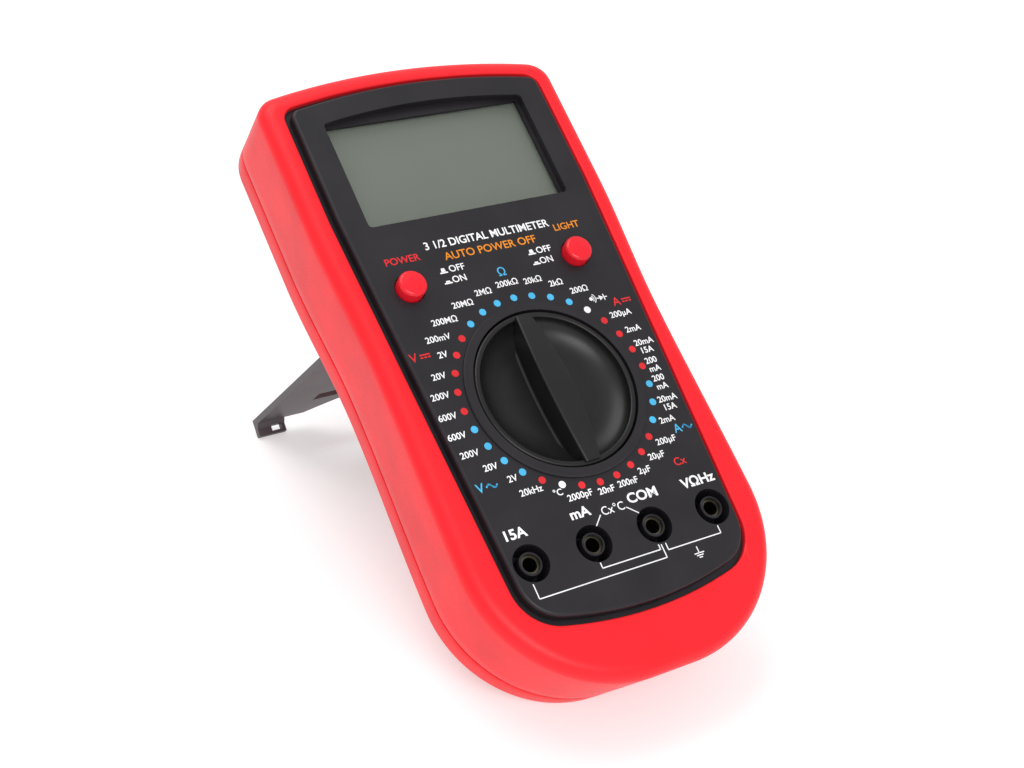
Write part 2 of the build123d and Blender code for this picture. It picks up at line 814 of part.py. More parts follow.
def main():
    nodes = make_all()
    place = standing_place(nodes)
    os.makedirs("parts", exist_ok=True)
    for name, shape in nodes.items():
        export_step(place * shape, f"parts/{name}.step")
    print("origin of the flat drawing", place.position)
    for label, point in {
        "stand axis": (0, stand_axis_y, stand_axis_z),
        "power button": (*power_button_at, button_top),
        "light button": (*light_button_at, button_top),
        "first socket": (socket_xs[0], socket_y, -7.0),
        "last socket": (socket_xs[-1], socket_y, -7.0),
    }.items():
        print(label, (place * Pos(*point)).position)


main()
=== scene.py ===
import json
import math

import bmesh
import bpy
from mathutils import Matrix, Vector


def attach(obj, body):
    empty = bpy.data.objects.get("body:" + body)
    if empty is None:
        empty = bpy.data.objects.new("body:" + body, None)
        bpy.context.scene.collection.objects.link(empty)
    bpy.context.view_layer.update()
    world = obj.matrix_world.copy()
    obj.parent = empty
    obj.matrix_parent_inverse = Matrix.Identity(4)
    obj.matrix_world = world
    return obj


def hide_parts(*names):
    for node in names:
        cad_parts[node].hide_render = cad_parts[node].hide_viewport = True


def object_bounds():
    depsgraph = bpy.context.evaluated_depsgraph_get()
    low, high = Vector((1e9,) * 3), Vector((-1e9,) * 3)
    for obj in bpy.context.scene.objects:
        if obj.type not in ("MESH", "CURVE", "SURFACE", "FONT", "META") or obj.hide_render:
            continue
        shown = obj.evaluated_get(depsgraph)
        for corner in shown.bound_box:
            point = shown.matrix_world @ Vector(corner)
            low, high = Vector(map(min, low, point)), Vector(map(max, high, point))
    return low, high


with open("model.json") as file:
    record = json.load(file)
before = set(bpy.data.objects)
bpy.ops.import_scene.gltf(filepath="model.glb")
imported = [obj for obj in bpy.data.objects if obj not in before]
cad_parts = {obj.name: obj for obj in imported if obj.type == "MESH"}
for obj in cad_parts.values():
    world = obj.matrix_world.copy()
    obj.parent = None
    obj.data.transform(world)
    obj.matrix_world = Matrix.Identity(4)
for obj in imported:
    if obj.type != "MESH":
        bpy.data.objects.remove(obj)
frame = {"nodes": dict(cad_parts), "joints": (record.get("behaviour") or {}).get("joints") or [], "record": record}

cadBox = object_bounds()
scene = bpy.context.scene
mm = 0.001

# the meter is drawn lying flat, in millimetres: x across the face, y up it, z out of it,
# with the selector's axis at x = y = 0 and the printed face at z = 0
selectorJoint = next(j for j in frame["joints"] if j["name"] == "selector_turn")
faceNormal = Vector(selectorJoint["axis"]).normalized()
faceUp = faceNormal.cross(Vector((1, 0, 0)))
faceTurn = Matrix((Vector((1, 0, 0)), faceUp, faceNormal)).transposed()
faceMatrix = (
    Matrix.Translation(Vector(selectorJoint["pos_m"])) @ faceTurn.to_4x4() @ Matrix.Scale(mm, 4)
)
print("frame loaded, nodes:", len(frame["nodes"]))


def newMaterial(name):
    material = bpy.data.materials.new(name)
    material.use_nodes = True
    nodes = material.node_tree.nodes
    nodes.clear()
    output = nodes.new("ShaderNodeOutputMaterial")
    shader = nodes.new("ShaderNodeBsdfPrincipled")
    material.node_tree.links.new(shader.outputs["BSDF"], output.inputs["Surface"])
    return material, nodes, material.node_tree.links, shader


def noiseTexture(nodes, links, coords, scale, detail=3.0, stretch=None):
    source = coords.outputs["Object"]
    if stretch:
        mapping = nodes.new("ShaderNodeMapping")
        mapping.inputs["Scale"].default_value = stretch
        links.new(source, mapping.inputs["Vector"])
        source = mapping.outputs["Vector"]
    texture = nodes.new("ShaderNodeTexNoise")
    texture.inputs["Scale"].default_value = scale
    texture.inputs["Detail"].default_value = detail
    links.new(source, texture.inputs["Vector"])
    return texture.outputs["Fac"]


def rangeMap(nodes, links, source, low, high, fromLow=0.3, fromHigh=0.7):
    mapper = nodes.new("ShaderNodeMapRange")
    mapper.inputs["From Min"].default_value = fromLow
    mapper.inputs["From Max"].default_value = fromHigh
    mapper.inputs["To Min"].default_value = low
    mapper.inputs["To Max"].default_value = high
    links.new(source, mapper.inputs["Value"])
    return mapper.outputs["Result"]


def mixColours(nodes, links, factor, first, second):
    mixer = nodes.new("ShaderNodeMix")
    mixer.data_type = "RGBA"
    links.new(factor, mixer.inputs["Factor"])
    for socket, value in ((mixer.inputs[6], first), (mixer.inputs[7], second)):
        if isinstance(value, tuple):
            socket.default_value = (*value, 1.0)
        else:
            links.new(value, socket)
    return mixer.outputs[2]


def scaled(colour, factor):
    return tuple(min(channel * factor, 1.0) for channel in colour)


# one row per finish: colour, roughness and its spread, how fine the grain is and its depth in mm,
# how much the colour drifts, how far edges are worn lighter, and the shader's fixed values
finishes = {
    "red_rubber": dict(colour=(0.84, 0.010, 0.018), rough=0.44, spread=0.07, grain=2600, depth=0.012,
                       drift=0.10, wear=0.06, fixed={"Specular IOR Level": 0.28,
                                                     "Sheen Weight": 0.04, "Sheen Roughness": 0.4}),
    "black_plastic": dict(colour=(0.0125, 0.0108, 0.0138), rough=0.42, spread=0.06, grain=3800,
                          depth=0.010, drift=0.22, wear=0.0, fixed={"Specular IOR Level": 0.34}),
    "knob_plastic": dict(colour=(0.0070, 0.0068, 0.0072), rough=0.38, spread=0.06, grain=4200,
                         depth=0.008, drift=0.25, wear=0.0, fixed={"Specular IOR Level": 0.36}),
    "grey_plastic": dict(colour=(0.060, 0.054, 0.060), rough=0.48, spread=0.06, grain=3200, depth=0.014,
                         drift=0.15, wear=0.0, fixed={}),
    "red_plastic": dict(colour=(0.72, 0.008, 0.020), rough=0.30, spread=0.04, grain=1500, depth=0.0015,
                        drift=0.06, wear=0.0, fixed={"Specular IOR Level": 0.30,
                                                     "Coat Weight": 0.12, "Coat Roughness": 0.15}),
    "white_plastic": dict(colour=(0.74, 0.72, 0.67), rough=0.42, spread=0.06, grain=2600, depth=0.010,
                          drift=0.08, wear=0.10, fixed={}),
    "blue_plastic": dict(colour=(0.03, 0.12, 0.46), rough=0.35, spread=0.06, grain=2600, depth=0.010,
                         drift=0.12, wear=0.15, fixed={}),
    "pink_rubber": dict(colour=(0.58, 0.26, 0.27), rough=0.6, spread=0.06, grain=5000, depth=0.020,
                        drift=0.2, wear=0.1, fixed={}),
    "black_epoxy": dict(colour=(0.012, 0.012, 0.012), rough=0.16, spread=0.08, grain=900, depth=0.03,
                        drift=0.2, wear=0.0, fixed={"Coat Weight": 0.5}),
    "capacitor_sleeve": dict(colour=(0.03, 0.05, 0.17), rough=0.28, spread=0.07, grain=1500, depth=0.01,
                             drift=0.15, wear=0.2, fixed={}),
    "resistor_body": dict(colour=(0.50, 0.36, 0.19), rough=0.30, spread=0.08, grain=2200, depth=0.02,
                          drift=0.2, wear=0.1, fixed={}),
    "wire_insulation": dict(colour=(0.42, 0.02, 0.02), rough=0.35, spread=0.06, grain=2500, depth=0.01,
                            drift=0.15, wear=0.0, fixed={}),
    "battery_wrap": dict(colour=(0.035, 0.035, 0.045), rough=0.28, spread=0.08, grain=1200, depth=0.01,
                         drift=0.3, wear=0.4, fixed={"Metallic": 0.6}),
    "ceramic_body": dict(colour=(0.78, 0.75, 0.67), rough=0.30, spread=0.10, grain=1800, depth=0.02,
                         drift=0.08, wear=0.0, fixed={"Coat Weight": 0.3}),
    "zinc_steel": dict(colour=(0.60, 0.60, 0.58), rough=0.34, spread=0.10, grain=1600, depth=0.006,
                       drift=0.12, wear=0.2, stretch=(1, 1, 12), fixed={"Metallic": 1.0}),
    "polished_steel": dict(colour=(0.74, 0.74, 0.75), rough=0.12, spread=0.06, grain=1600, depth=0.002,
                           drift=0.05, wear=0.0, fixed={"Metallic": 1.0}),
    "gold_contact": dict(colour=(0.86, 0.62, 0.26), rough=0.22, spread=0.08, grain=1600, depth=0.004,
                         drift=0.1, wear=0.0, stretch=(8, 1, 1), fixed={"Metallic": 1.0}),
    "socket_brass": dict(colour=(0.10, 0.085, 0.055), rough=0.34, spread=0.10, grain=1800, depth=0.006,
                         drift=0.25, wear=0.1, stretch=(1, 6, 6), fixed={"Metallic": 1.0}),
    "white_ink": dict(colour=(0.80, 0.80, 0.81), rough=0.5, spread=0.08, grain=5200, depth=0.006,
                      drift=0.10, wear=0.0, fixed={"Specular IOR Level": 0.25}),
    "red_ink": dict(colour=(0.62, 0.020, 0.026), rough=0.5, spread=0.08, grain=5200, depth=0.006,
                    drift=0.12, wear=0.0, fixed={"Specular IOR Level": 0.25}),
    "blue_ink": dict(colour=(0.060, 0.39, 0.66), rough=0.5, spread=0.08, grain=5200, depth=0.006,
                     drift=0.12, wear=0.0, fixed={"Specular IOR Level": 0.25}),
    "orange_ink": dict(colour=(0.68, 0.22, 0.012), rough=0.5, spread=0.08, grain=5200, depth=0.006,
                       drift=0.12, wear=0.0, fixed={"Specular IOR Level": 0.25}),
    "pale_floor": dict(colour=(0.62, 0.62, 0.625), rough=0.75, spread=0.05, grain=60, depth=0.01,
                       drift=0.01, wear=0.0, fixed={"Specular IOR Level": 0.1,
                                                    "Emission Color": (1.0, 1.0, 1.0, 1.0),
                                                    "Emission Strength": 0.44}),
}


surface = {
    "fineDetail": 4.0, "broadDetail": 3.0,
    "broadShare": 45,                      # the slow drift is this much coarser than the grain
    "wornFrom": 0.52, "wornTo": 0.62,      # pointiness where wear starts and where it is full
    "wornKeep": 0.6, "wornLift": 0.25,     # share of the colour kept on a worn edge, and white added
    "bump": 0.5,
}


def makeFinish(name, colour, rough, spread, grain, depth, drift, wear, fixed, stretch=None):
    material, nodes, links, shader = newMaterial(name)
    coords = nodes.new("ShaderNodeTexCoord")
    fine = noiseTexture(nodes, links, coords, grain, surface["fineDetail"], stretch)
    broad = noiseTexture(nodes, links, coords, grain / surface["broadShare"], surface["broadDetail"])
    # slow drift of the colour, then lighter worn edges
    drifted = mixColours(nodes, links, rangeMap(nodes, links, broad, 0.0, 1.0),
                         scaled(colour, 1 - drift), scaled(colour, 1 + drift))
    if wear:
        edges = nodes.new("ShaderNodeNewGeometry")
        worn = rangeMap(nodes, links, edges.outputs["Pointiness"], 0.0, wear,
                        surface["wornFrom"], surface["wornTo"])
        pale = tuple(channel * surface["wornKeep"] + surface["wornLift"] for channel in colour)
        drifted = mixColours(nodes, links, worn, drifted, pale)
    links.new(drifted, shader.inputs["Base Color"])
    links.new(rangeMap(nodes, links, fine, rough - spread, rough + spread), shader.inputs["Roughness"])
    bump = nodes.new("ShaderNodeBump")
    bump.inputs["Strength"].default_value = surface["bump"]
    bump.inputs["Distance"].default_value = depth * mm
    links.new(fine, bump.inputs["Height"])
    links.new(bump.outputs["Normal"], shader.inputs["Normal"])
    for socket, value in fixed.items():
        shader.inputs[socket].default_value = value
    return material


materials = {name: makeFinish(name, **row) for name, row in finishes.items()}


# clear panes: little more than their gloss, with slow smudges
panes = {
    "clear_window": dict(tint=(0.30, 0.33, 0.29), alpha=0.22, rough=0.10),
    "fuse_glass": dict(tint=(0.75, 0.80, 0.80), alpha=0.35, rough=0.05),
}
pane = {"smudgeScale": 90, "clean": 0.6, "smudged": 1.8, "dim": 0.94, "ior": 1.49, "gloss": 0.8}


def makePane(name, tint, alpha, rough):
    material, nodes, links, shader = newMaterial(name)
    coords = nodes.new("ShaderNodeTexCoord")
    smudge = noiseTexture(nodes, links, coords, pane["smudgeScale"])
    links.new(rangeMap(nodes, links, smudge, rough * pane["clean"], rough * pane["smudged"]),
              shader.inputs["Roughness"])
    links.new(mixColours(nodes, links, smudge, scaled(tint, pane["dim"]), tint),
              shader.inputs["Base Color"])
    shader.inputs["Alpha"].default_value = alpha
    shader.inputs["IOR"].default_value = pane["ior"]
    shader.inputs["Specular IOR Level"].default_value = pane["gloss"]
    return material


for name, row in panes.items():
    materials[name] = makePane(name, **row)

# liquid crystal: a slow greenish drift under a fine weave
display = {
    "dark": (0.074, 0.088, 0.064), "light": (0.090, 0.105, 0.078), "fleck": (0.062, 0.076, 0.055),
    "driftScale": 22, "weaveScale": 5200, "fleckShare": 0.18, "rough": (0.34, 0.46), "gloss": 0.3,
}


def makeDisplayGlass():
    material, nodes, links, shader = newMaterial("display_glass")
    coords = nodes.new("ShaderNodeTexCoord")
    slow = noiseTexture(nodes, links, coords, display["driftScale"], 2.0)
    weave = noiseTexture(nodes, links, coords, display["weaveScale"], 1.0)
    base = mixColours(nodes, links, slow, display["dark"], display["light"])
    fleck = rangeMap(nodes, links, weave, 0.0, display["fleckShare"])
    links.new(mixColours(nodes, links, fleck, base, display["fleck"]), shader.inputs["Base Color"])
    links.new(rangeMap(nodes, links, weave, *display["rough"]), shader.inputs["Roughness"])
    shader.inputs["Specular IOR Level"].default_value = display["gloss"]
    return material


materials["display_glass"] = makeDisplayGlass()


# solder mask with copper tracks showing through as a cell pattern
board = {
    "mask": (0.012, 0.13, 0.045), "track": (0.020, 0.20, 0.075), "cellScale": 260,
    "edge": (0.30, 0.34), "rough": (0.30, 0.42), "trackHeight": 0.02,
}


def makeBoard():
    material, nodes, links, shader = newMaterial("circuit_board")
    coords = nodes.new("ShaderNodeTexCoord")
    cells = nodes.new("ShaderNodeTexVoronoi")
    cells.distance = "CHEBYCHEV"
    cells.inputs["Scale"].default_value = board["cellScale"]
    links.new(coords.outputs["Object"], cells.inputs["Vector"])
    tracks = rangeMap(nodes, links, cells.outputs["Distance"], 0.0, 1.0, *board["edge"])
    colour = mixColours(nodes, links, tracks, board["mask"], board["track"])
    links.new(colour, shader.inputs["Base Color"])
    links.new(rangeMap(nodes, links, cells.outputs["Distance"], *board["rough"]),
              shader.inputs["Roughness"])
    bump = nodes.new("ShaderNodeBump")
    bump.inputs["Distance"].default_value = board["trackHeight"] * mm
    links.new(tracks, bump.inputs["Height"])
    links.new(bump.outputs["Normal"], shader.inputs["Normal"])
    return material


materials["circuit_board"] = makeBoard()
print("materials:", len(materials))

for part in frame["record"]["subparts"]:
    node = frame["nodes"][part["node"]]
    node.data.materials.clear()
    node.data.materials.append(materials[part["material_slot"]])
print("CAD nodes painted")


def finishPiece(name, bm, body, finish, smoothAngle=32, floorClamp=False):
    bm.transform(faceMatrix)
    if floorClamp:
        for vert in bm.verts:
            vert.co.z = max(vert.co.z, cadBox[0].z)
    bmesh.ops.recalc_face_normals(bm, faces=bm.faces)
    limit = math.radians(smoothAngle)
    for face in bm.faces:
        face.smooth = True
    for edge in bm.edges:
        if len(edge.link_faces) == 2 and edge.calc_face_angle() > limit:
            edge.smooth = False
    mesh = bpy.data.meshes.new(name)
    bm.to_mesh(mesh)
    bm.free()
    mesh.materials.append(materials[finish])
    piece = bpy.data.objects.new(name, mesh)
    scene.collection.objects.link(piece)
    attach(piece, body)
    return piece


def addRing(bm, points, z):
    return [bm.verts.new((x, y, z)) for x, y in points]


def bridgeRings(bm, first, second):
    count = len(first)
    for i in range(count):
        j = (i + 1) % count
        bm.faces.new((first[i], first[j], second[j], second[i]))


def arcPoints(centre, radius, start, end, count):
    steps = [start + (end - start) * i / count for i in range(count + 1)]
    return [(centre[0] + radius * math.cos(a), centre[1] + radius * math.sin(a)) for a in steps]


# circle that rounds the corner between a straight side and a big arc
def cornerCircle(linePoint, lineDirection, arcCentre, arcRadius, radius, upper):
    direction = Vector(lineDirection).normalized()
    inward = Vector((-direction.y, direction.x))
    start = Vector(linePoint) + inward * radius
    away = start - Vector(arcCentre)
    along = direction.dot(away)
    reach = math.sqrt(along ** 2 - away.length_squared + (arcRadius - radius) ** 2)
    centre = start + direction * (-along + (reach if upper else -reach))
    onArc = (centre - Vector(arcCentre)).normalized()
    onLine = -inward
    return centre, math.atan2(onArc.y, onArc.x), math.atan2(onLine.y, onLine.x)


# evenly spaced points along a half outline that runs from the top centre to the bottom centre,
# mirrored to a closed ring
def closedRing(half, count):
    lengths = [0.0]
    for a, b in zip(half, half[1:]):
        lengths.append(lengths[-1] + math.dist(a, b))
    spaced = []
    index = 0
    for i in range(count + 1):
        target = lengths[-1] * i / count
        while index < len(lengths) - 2 and lengths[index + 1] < target:
            index += 1
        span = lengths[index + 1] - lengths[index]
        share = (target - lengths[index]) / span if span else 0.0
        a, b = half[index], half[index + 1]
        spaced.append((a[0] + (b[0] - a[0]) * share, a[1] + (b[1] - a[1]) * share))
    spaced[0] = (0.0, spaced[0][1])
    spaced[-1] = (0.0, spaced[-1][1])
    return spaced + [(-x, y) for x, y in reversed(spaced[1:-1])]


def offsetRing(points, distance):
    count = len(points)
    moved = []
    for i, (x, y) in enumerate(points):
        ahead = points[(i + 1) % count]
        behind = points[i - 1]
        tangent = Vector((ahead[0] - behind[0], ahead[1] - behind[1])).normalized()
        moved.append((x + tangent.y * distance, y - tangent.x * distance))
    return moved


# the holster's outline at its front rim and at its back: half widths beside the display, at the
# selector and at the sockets, the top and bottom edges, and the radii of the lower and upper corners
boot = {
    "frontSizes": {"top": 47.5, "waist": 45.6, "hip": 46.3, "crown": 108.3, "bottom": -80.2,
                   "chin": 40.0, "corner": 7.0},
    "backSizes": {"top": 45.0, "waist": 42.8, "hip": 44.0, "crown": 116.4, "bottom": -74.2,
                  "chin": 35.5, "corner": 15.0},
    "crownDrop": 5.2, "waistY": 20.0, "chest": 62.0, "front": -1.6, "back": -36.8,
    "rimRound": 4.4, "backRound": 2.6, "lipRound": 0.6,
    "grooveTop": -27.4, "grooveBottom": -28.3, "grooveDepth": 1.5, "grooveEdge": 0.12,
    "sideRings": (-12.0, -18.0, -24.0), "lowRing": -31.0,      # extra rows on the flat walls
    "flange": -3.2, "cavityFloor": -32.3,
    "cavitySizes": {"top": 43.3, "waist": 41.2, "hip": 42.4, "crown": 104.7, "bottom": -70.2,
                    "chin": 33.0, "corner": 5.0},
    "ringPoints": 220,
}
lip = {
    "topHalf": 41.2, "lowHalf": 35.9, "crown": 102.8, "crownDrop": 4.0,
    "bottom": -63.6, "bottomRise": 5.7, "lowCorner": 13.0, "topCorner": 4.5,
}
stand = {
    "half": 33.0, "thickness": 2.0, "length": 93.1, "axisY": 44.2, "axisZ": -35.1,
    "barrel": 1.7, "footWidth": 9.6, "footDepth": 5.2, "footThickness": 2.4,
    "gap": 0.4,              # play round the stand in its recess
    "bedGap": 0.3,           # and under its plate and barrel
    "hingeReach": 1.45,      # how far the recess runs on above the hinge
    "mouthStep": 0.7,        # the barrel's bed starts this far inside the back
}


def arcRadiusOf(half, drop):
    return (half ** 2 + drop ** 2) / (2 * drop)


def bootHalf(sizes):
    top, waist, hip, bottom = sizes["top"], sizes["waist"], sizes["hip"], sizes["bottom"]
    arcRadius = arcRadiusOf(top, boot["crownDrop"])
    arcCentre = (0.0, sizes["crown"] - arcRadius)
    corner = sizes["corner"]
    centre, onArc, onSide = cornerCircle((top, 0), (0, 1), arcCentre, arcRadius, corner, True)
    points = arcPoints(arcCentre, arcRadius, math.pi / 2, onArc, 40)
    points += arcPoints(centre, corner, onArc, onSide, 24)[1:]
    chinY = bottom + sizes["chin"]
    heights = (boot["chest"], boot["waistY"], chinY)
    widths = (top, waist, hip)
    slopes = (0.0, (top - hip) / (boot["chest"] - chinY), 0.0)
    for k in range(2):
        span = heights[k] - heights[k + 1]
        for i in range(40):
            t = i / 40
            blend = 2 * t ** 3 - 3 * t ** 2 + 1
            x = (blend * widths[k] + (1 - blend) * widths[k + 1]
                 - (t ** 3 - 2 * t ** 2 + t) * span * slopes[k]
                 - (t ** 3 - t ** 2) * span * slopes[k + 1])
            points.append((x, heights[k] - span * t))
    points += arcPoints((hip - sizes["chin"], chinY), sizes["chin"], 0, -math.pi / 2, 60)
    points.append((0.0, bottom))
    return points


def bootRing(z, inset=0.0):
    share = (boot["front"] - z) / (boot["front"] - boot["back"])
    sizes = {key: front + (boot["backSizes"][key] - front) * share
             for key, front in boot["frontSizes"].items()}
    return offsetRing(closedRing(bootHalf(sizes), boot["ringPoints"]), inset)


def lipRing(grow=0.0):
    top, low, crown = lip["topHalf"], lip["lowHalf"], lip["crown"]
    hipY = lip["bottom"] + lip["bottomRise"]
    sideDirection = (top - low, boot["chest"] - hipY)
    topRadius = arcRadiusOf(top, lip["crownDrop"])
    topCentre = (0.0, crown - topRadius)
    lowRadius = arcRadiusOf(low, lip["bottomRise"])
    lowCentre = (0.0, lip["bottom"] + lowRadius)
    centre, onArc, onSide = cornerCircle(
        (top, 0), (0, 1), topCentre, topRadius, lip["topCorner"], True)
    points = arcPoints(topCentre, topRadius, math.pi / 2, onArc, 40)
    points += arcPoints(centre, lip["topCorner"], onArc, onSide, 16)[1:]
    centre, onArc, onSide = cornerCircle(
        (low, hipY), sideDirection, lowCentre, lowRadius, lip["lowCorner"], False)
    points.append((top, boot["chest"]))
    points += arcPoints(centre, lip["lowCorner"], onSide, onArc, 30)
    points += arcPoints(lowCentre, lowRadius, onArc, -math.pi / 2, 40)[1:]
    return offsetRing(closedRing(points, boot["ringPoints"]), -grow)


def makeHolster():
    bm = bmesh.new()
    rings = []
    casePoints = closedRing(bootHalf(boot["cavitySizes"]), boot["ringPoints"])
    rings.append(addRing(bm, casePoints, boot["cavityFloor"]))
    rings.append(addRing(bm, casePoints, boot["flange"]))
    rings.append(addRing(bm, lipRing(), boot["flange"]))
    lipRound = boot["lipRound"]
    for i in range(5):
        a = math.pi / 2 * i / 4
        rings.append(addRing(bm, lipRing(lipRound * (1 - math.cos(a))),
                             boot["front"] - lipRound * (1 - math.sin(a))))
    rimRound = boot["rimRound"]
    for i in range(13):
        a = math.pi / 2 * i / 12
        z = boot["front"] - rimRound * (1 - math.cos(a))
        rings.append(addRing(bm, bootRing(z, rimRound * (1 - math.sin(a))), z))
    grooveTop, grooveBottom = boot["grooveTop"], boot["grooveBottom"]
    edge, deep = boot["grooveEdge"], boot["grooveDepth"]
    for z, inset in (
        *((z, 0) for z in boot["sideRings"]),
        (grooveTop + edge, 0), (grooveTop, edge * 0.4), (grooveTop - edge, edge + 0.1),
        (grooveTop - edge - 0.1, deep), (grooveBottom + edge + 0.1, deep),
        (grooveBottom + edge, edge + 0.1), (grooveBottom, edge * 0.4), (grooveBottom - edge, 0),
        (boot["lowRing"], 0),
    ):
        rings.append(addRing(bm, bootRing(z, inset), z))
    backRound = boot["backRound"]
    for i in range(9):
        a = math.pi / 2 * i / 8
        z = boot["back"] + backRound * (1 - math.sin(a))
        rings.append(addRing(bm, bootRing(z, backRound * (1 - math.cos(a))), z))
    for first, second in zip(rings, rings[1:]):
        bridgeRings(bm, first, second)
    bm.faces.new(rings[0])
    bm.faces.new(rings[-1])
    return bm


def boxInto(bm, low, high):
    size = [b - a for a, b in zip(low, high)]
    middle = [(a + b) / 2 for a, b in zip(low, high)]
    matrix = Matrix.Translation(middle) @ Matrix.Diagonal((*size, 1.0))
    return bmesh.ops.create_cube(bm, size=1.0, matrix=matrix)["verts"]


def roundedCutter(low, high, radius):
    bm = bmesh.new()
    boxInto(bm, low, high)
    upright = [e for e in bm.edges if abs(e.verts[0].co.z - e.verts[1].co.z) > 0.01]
    bmesh.ops.bevel(bm, geom=upright, offset=radius, segments=6, affect="EDGES", profile=0.5)
    return bm


def looseObject(name, bm):
    bmesh.ops.recalc_face_normals(bm, faces=bm.faces)
    mesh = bpy.data.meshes.new(name)
    bm.to_mesh(mesh)
    bm.free()
    holder = bpy.data.objects.new(name, mesh)
    scene.collection.objects.link(holder)
    return holder


# cuts each of the tools out of a closed mesh, or joins them to it
def combine(bm, tools, operation):
    target = looseObject("combineTarget", bm)
    for toolMesh in tools:
        tool = looseObject("combineTool", toolMesh)
        modifier = target.modifiers.new("combine", "BOOLEAN")
        modifier.operation = operation
        modifier.solver = "EXACT"
        modifier.object = tool
        graph = bpy.context.evaluated_depsgraph_get()
        combined = bpy.data.meshes.new_from_object(target.evaluated_get(graph))
        target.modifiers.clear()
        target.data = combined
        bpy.data.objects.remove(tool)
    result = bmesh.new()
    result.from_mesh(target.data)
    bpy.data.objects.remove(target)
    return result


def standCutters():
    axisY, axisZ, gap, bedGap = stand["axisY"], stand["axisZ"], stand["gap"], stand["bedGap"]
    reachLow = axisY - stand["length"]
    plateFloor = axisZ + stand["thickness"] / 2 + bedGap
    barrel = stand["barrel"] + bedGap
    half = stand["half"] + gap
    below = boot["back"] - 1
    cutters = [
        roundedCutter((-half, reachLow - 0.8, below), (half, axisY + stand["hingeReach"], plateFloor), 0.5),
        roundedCutter((-half, axisY - barrel, boot["back"] + stand["mouthStep"]),
                      (half, axisY + barrel, axisZ + barrel), 0.4),
    ]
    for side in (-1, 1):
        inner = side * (stand["half"] - stand["footWidth"] - gap)
        outer = side * half
        cutters.append(roundedCutter(
            (min(inner, outer), reachLow - gap - 0.4, below),
            (max(inner, outer), reachLow + stand["footThickness"] + gap + 1.6,
             axisZ + stand["footDepth"] + gap), 0.5))
    return cutters


holster = finishPiece("holsterSkin", combine(makeHolster(), standCutters(), "DIFFERENCE"),
                      "meter", "red_rubber", floorClamp=True)
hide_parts("holster")
print("holster ready:", len(holster.data.polygons), "faces")


button = {
    "radius": 4.0, "top": 3.8, "crown": 0.35, "round": 1.1, "flangeRadius": 5.2,
    "flangeTop": -2.25, "flangeBottom": -3.35, "stemTop": 0.5, "segments": 72,
    "places": {"power": (-28.2, 37.3), "light": (24.6, 37.6)},
}


def lathe(bm, centre, profile, segments):
    rings = []
    for radius, z in profile:
        if radius < 1e-6:
            rings.append([bm.verts.new((centre[0], centre[1], z))])
            continue
        steps = [2 * math.pi * i / segments for i in range(segments)]
        rings.append(addRing(bm, [(centre[0] + radius * math.cos(a), centre[1] + radius * math.sin(a))
                                  for a in steps], z))
    for first, second in zip(rings, rings[1:]):
        if len(first) == 1 or len(second) == 1:
            tip, ring = (first[0], second) if len(first) == 1 else (second[0], first)
            for i in range(len(ring)):
                bm.faces.new((tip, ring[i], ring[(i + 1) % len(ring)]))
        else:
            bridgeRings(bm, first, second)


def makeButton(spot):
    radius, top, crown, rounding = button["radius"], button["top"], button["crown"], button["round"]
    profile = [(0, top)]
    flat = radius - rounding
    for i in range(1, 7):
        share = i / 6
        profile.append((flat * share, top - crown * share ** 2))
    for i in range(1, 9):
        a = math.pi / 2 * i / 8
        profile.append((flat + rounding * math.sin(a), top - crown - rounding * (1 - math.cos(a))))
    profile += [
        (radius, button["stemTop"]), (radius, button["flangeTop"]),
        (button["flangeRadius"], button["flangeTop"]),
        (button["flangeRadius"], button["flangeBottom"]), (0, button["flangeBottom"]),
    ]
    bm = bmesh.new()
    lathe(bm, spot, profile, button["segments"])
    return bm


for key, spot in button["places"].items():
    cap = finishPiece(key + "ButtonCap", makeButton(spot), key + "_key", "red_plastic")
    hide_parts(key + "_button")
print("buttons ready")


knob = {
    "radius": 23.2, "rim": 0.6, "rimRound": 0.7, "bottom": -6.9,
    "skirtRadius": 25.0, "skirtTop": -5.3,
    "dishRadius": 21.5, "dishFloor": -5.0, "dishRound": 9.0, "dishRise": 0.25, "lipRound": 0.5,
    "barHalf": 4.1, "barEndHalf": 2.3, "barLength": 22.3, "barTop": 3.0, "barEndTop": 1.3,
    "barRound": 0.6, "barRoot": 0.9, "turn": 1.2, "segments": 180, "sections": 48,
}


def knobProfile():
    rim, lipRound, deep = knob["rim"], knob["lipRound"], knob["dishFloor"]
    dishRadius, dishRound, rise = knob["dishRadius"], knob["dishRound"], knob["dishRise"]
    profile = [(0, deep)]
    flat = dishRadius - dishRound
    for i in range(1, 9):
        profile.append((flat * i / 8, deep + rise * (i / 8) ** 2))
    # the dish wall is a quarter of an ellipse that ends upright under the rim
    wallTop = rim - lipRound
    for i in range(1, 25):
        a = math.pi / 2 * i / 24
        profile.append((flat + dishRound * math.sin(a),
                        deep + rise + (wallTop - deep - rise) * (1 - math.cos(a))))
    for i in range(1, 7):
        a = math.pi / 2 * i / 6
        profile.append((dishRadius + lipRound * (1 - math.cos(a)), wallTop + lipRound * math.sin(a)))
    rimRound, radius = knob["rimRound"], knob["radius"]
    for i in range(9):
        a = math.pi / 2 * i / 8
        profile.append((radius - rimRound * (1 - math.sin(a)), rim - rimRound * (1 - math.cos(a))))
    profile += [(radius, -2.5), (radius, knob["skirtTop"]), (knob["skirtRadius"], knob["skirtTop"]),
                (knob["skirtRadius"], knob["bottom"]), (0, knob["bottom"])]
    return profile


